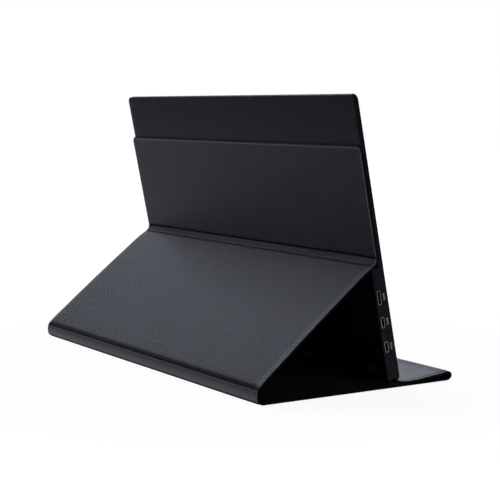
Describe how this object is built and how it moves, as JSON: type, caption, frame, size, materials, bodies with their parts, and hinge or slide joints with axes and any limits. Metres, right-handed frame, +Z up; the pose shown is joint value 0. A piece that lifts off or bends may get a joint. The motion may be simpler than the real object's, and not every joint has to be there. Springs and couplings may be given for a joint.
{
  "type": "portable monitor with folio cover",
  "caption": "Slim portable monitor leaning in its black folio cover, whose panels fold into a triangular stand with a front flap.",
  "frame": {"origin": "on the floor, under the middle of the stand", "axes": "+X across the screen, towards its buttons; the screen faces -Y; +Z up"},
  "size_m": [0.36, 0.1914, 0.2292],
  "materials": {
    "leather": "fine-grained black synthetic leather with a soft sheen",
    "lining": "matt black microfibre",
    "cover_board": "grey pressed fibreboard",
    "magnet": "nickel-plated magnets",
    "housing": "satin charcoal plastic",
    "bezel": "black satin plastic",
    "screen": "dark anti-glare screen",
    "white_film": "white film and moulded frame",
    "acrylic": "clear acrylic",
    "sheet_steel": "plated steel",
    "copper_shell": "copper-coloured plated shell",
    "circuit_board": "green lacquered circuit board",
    "black_plastic": "moulded black plastic",
    "flex_film": "amber flexible film"
  },
  "bodies": {
    "base": {"base_skin": "leather", "base_board": "cover_board", "base_lining": "lining"},
    "rear_spine": {"rear_spine_skin": "leather", "rear_spine_board": "cover_board", "rear_spine_lining": "lining"},
    "prop": {"prop_skin": "leather", "prop_board": "cover_board", "prop_lining": "lining"},
    "fold": {"fold_strip": "leather"},
    "display": {"back_panel_skin": "leather", "back_panel_board": "cover_board", "back_panel_lining": "lining", "cover_magnets": "magnet", "front_bezel": "bezel", "rear_housing": "housing", "bezel_tape": "bezel", "lcd_panel": "screen", "optical_sheets": "white_film", "light_guide": "acrylic", "reflector_sheet": "white_film", "led_strip": "white_film", "panel_frame": "white_film", "panel_tray": "sheet_steel", "panel_driver_board": "circuit_board", "magnet_plate": "sheet_steel", "main_board": "circuit_board", "main_board_chips": "black_plastic", "mini_hdmi_socket": "copper_shell", "mini_hdmi_tongue": "black_plastic", "usb_c_socket_upper": "sheet_steel", "usb_c_socket_lower": "sheet_steel", "usb_c_tongues": "black_plastic", "display_cable": "flex_film", "button_board": "circuit_board", "tact_switches": "black_plastic", "audio_jack": "black_plastic", "button_cable": "flex_film", "status_lens": "acrylic", "speaker_left": "black_plastic", "speaker_right": "black_plastic", "speaker_leads": "black_plastic", "board_screws": "sheet_steel", "housing_screws": "sheet_steel"},
    "front_loop": {"front_strip": "leather"},
    "flap": {"flap_skin": "leather", "flap_board": "cover_board", "flap_lining": "lining", "flap_magnets": "magnet"},
    "power_key": {"power_button": "housing"},
    "plus_key": {"plus_button": "housing"},
    "minus_key": {"minus_button": "housing"}
  },
  "joints": [
    {"name": "stand_opening", "type": "hinge", "parent": "base", "child": "rear_spine", "pos_m": [0, 0.09267, 0.001], "axis": [-1, 0, 0], "range_deg": [0, 80]},
    {"name": "prop_crease", "type": "hinge", "parent": "rear_spine", "child": "prop", "pos_m": [0, 0.09475, 0.01282], "axis": [-1, 0, 0], "range_deg": [0, 61.61]},
    {"name": "lower_fold_crease", "type": "hinge", "parent": "prop", "child": "fold", "pos_m": [0, -0.01256, 0.09787], "axis": [1, 0, 0], "range_deg": [0, 108.61]},
    {"name": "upper_fold_crease", "type": "hinge", "parent": "fold", "child": "display", "pos_m": [0, -0.01638, 0.10374], "axis": [-1, 0, 0], "range_deg": [0, 49.01]},
    {"name": "flap_opening", "type": "hinge", "parent": "base", "child": "front_loop", "pos_m": [0, -0.09495, 0.001], "axis": [1, 0, 0], "range_deg": [0, 90]},
    {"name": "flap_crease", "type": "hinge", "parent": "front_loop", "child": "flap", "pos_m": [0, -0.09495, 0.007], "axis": [1, 0, 0], "range_deg": [0, 94.3]},
    {"name": "power_press", "type": "slide", "parent": "display", "child": "power_key", "axis": [-1, 0, 0], "range_m": [0, 0.0006], "stiffness_N_per_m": 1500},
    {"name": "plus_press", "type": "slide", "parent": "display", "child": "plus_key", "axis": [-1, 0, 0], "range_m": [0, 0.0006], "stiffness_N_per_m": 1500},
    {"name": "minus_press", "type": "slide", "parent": "display", "child": "minus_key", "axis": [-1, 0, 0], "range_m": [0, 0.0006], "stiffness_N_per_m": 1500}
  ],
  "couplings": [
    {"joint": "prop_crease", "follows": "stand_opening", "ratio": 0.77},
    {"joint": "lower_fold_crease", "follows": "stand_opening", "ratio": 1.3575},
    {"joint": "upper_fold_crease", "follows": "stand_opening", "ratio": 0.6125},
    {"joint": "flap_crease", "follows": "flap_opening", "ratio": 1.0477}
  ]
}
